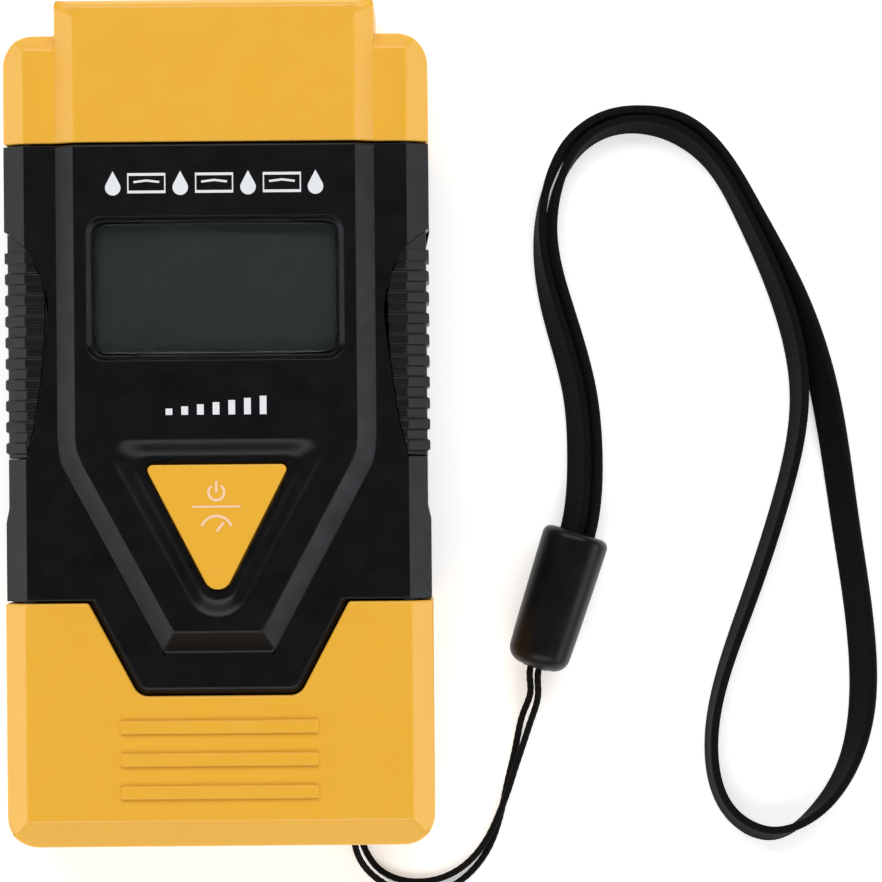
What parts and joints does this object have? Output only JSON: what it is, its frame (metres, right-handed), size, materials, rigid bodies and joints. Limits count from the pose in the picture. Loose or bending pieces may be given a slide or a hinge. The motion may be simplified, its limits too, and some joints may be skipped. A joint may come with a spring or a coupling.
{
  "type": "moisture meter",
  "caption": "Pocket pin-type moisture meter with a pull-off pin cap, display window, sprung button, ribbed side grips, slide-off battery cover and a wrist strap.",
  "frame": {"origin": "under the middle of the meter's body, on the surface that its back rests on", "axes": "+Y along the measuring pins, +Z out of the display, +X to the right as the display is read"},
  "size_m": [0.1247, 0.1294, 0.028],
  "materials": {
    "shell_black": "finely textured moulded plastic",
    "cover_yellow": "satin moulded plastic",
    "button_yellow": "satin moulded plastic",
    "grip_rubber": "matt soft rubber",
    "window_clear": "clear polished plastic, lightly tinted",
    "lcd_glass": "dark grey-green polarised glass",
    "frame_white": "plain moulded plastic",
    "zebra_rubber": "layered conductive rubber",
    "board_green": "green solder mask",
    "chip_black": "matt epoxy",
    "board_parts": "ceramic and tinned parts",
    "screw_steel": "zinc-plated steel",
    "block_black": "rigid insulating plastic",
    "socket_brass": "turned brass",
    "pin_steel": "polished hardened steel",
    "cell_wrap": "shrink wrap on steel",
    "contact_steel": "nickel-plated spring steel",
    "lead_black": "flexible wire insulation",
    "label_grey": "printed film",
    "cord_black": "braided cord",
    "webbing_black": "ribbed woven webbing",
    "ferrule_black": "polished moulded plastic",
    "plug_black": "moulded plastic"
  },
  "bodies": {
    "meter_body": {"front_shell": "shell_black", "rear_shell": "shell_black", "left_grip": "grip_rubber", "right_grip": "grip_rubber", "window_lens": "window_clear", "lcd_panel": "lcd_glass", "lcd_frame": "frame_white", "zebra_strip": "zebra_rubber", "main_board": "board_green", "mcu_chip": "chip_black", "board_parts": "board_parts", "board_screws": "screw_steel", "case_screws": "screw_steel", "tact_switch": "chip_black", "electrode_block": "block_black", "left_socket": "socket_brass", "right_socket": "socket_brass", "left_pin": "pin_steel", "right_pin": "pin_steel", "electrode_strips": "socket_brass", "cell_1": "cell_wrap", "cell_2": "cell_wrap", "cell_3": "cell_wrap", "battery_springs": "contact_steel", "contact_top_single": "contact_steel", "contact_top_bridge": "contact_steel", "contact_bottom_bridge": "contact_steel", "contact_bottom_single": "contact_steel", "battery_lead": "lead_black", "rear_label": "label_grey"},
    "cap_body": {"pin_cap": "cover_yellow"},
    "cover_body": {"battery_cover": "cover_yellow", "strap_cord": "cord_black", "strap_ferrule": "ferrule_black", "ferrule_plug": "plug_black", "strap_band": "webbing_black"},
    "button_body": {"power_button": "button_yellow", "switch_plunger": "button_yellow"}
  },
  "joints": [
    {"name": "cap_pull", "type": "slide", "parent": "meter_body", "child": "cap_body", "axis": [0, 1, 0], "range_m": [0, 0.03]},
    {"name": "cover_slide", "type": "slide", "parent": "meter_body", "child": "cover_body", "axis": [0, -1, 0], "range_m": [0, 0.06]},
    {"name": "button_press", "type": "slide", "parent": "meter_body", "child": "button_body", "axis": [0, 0, -1], "range_m": [0, 0.0005], "stiffness_N_per_m": 800}
  ]
}
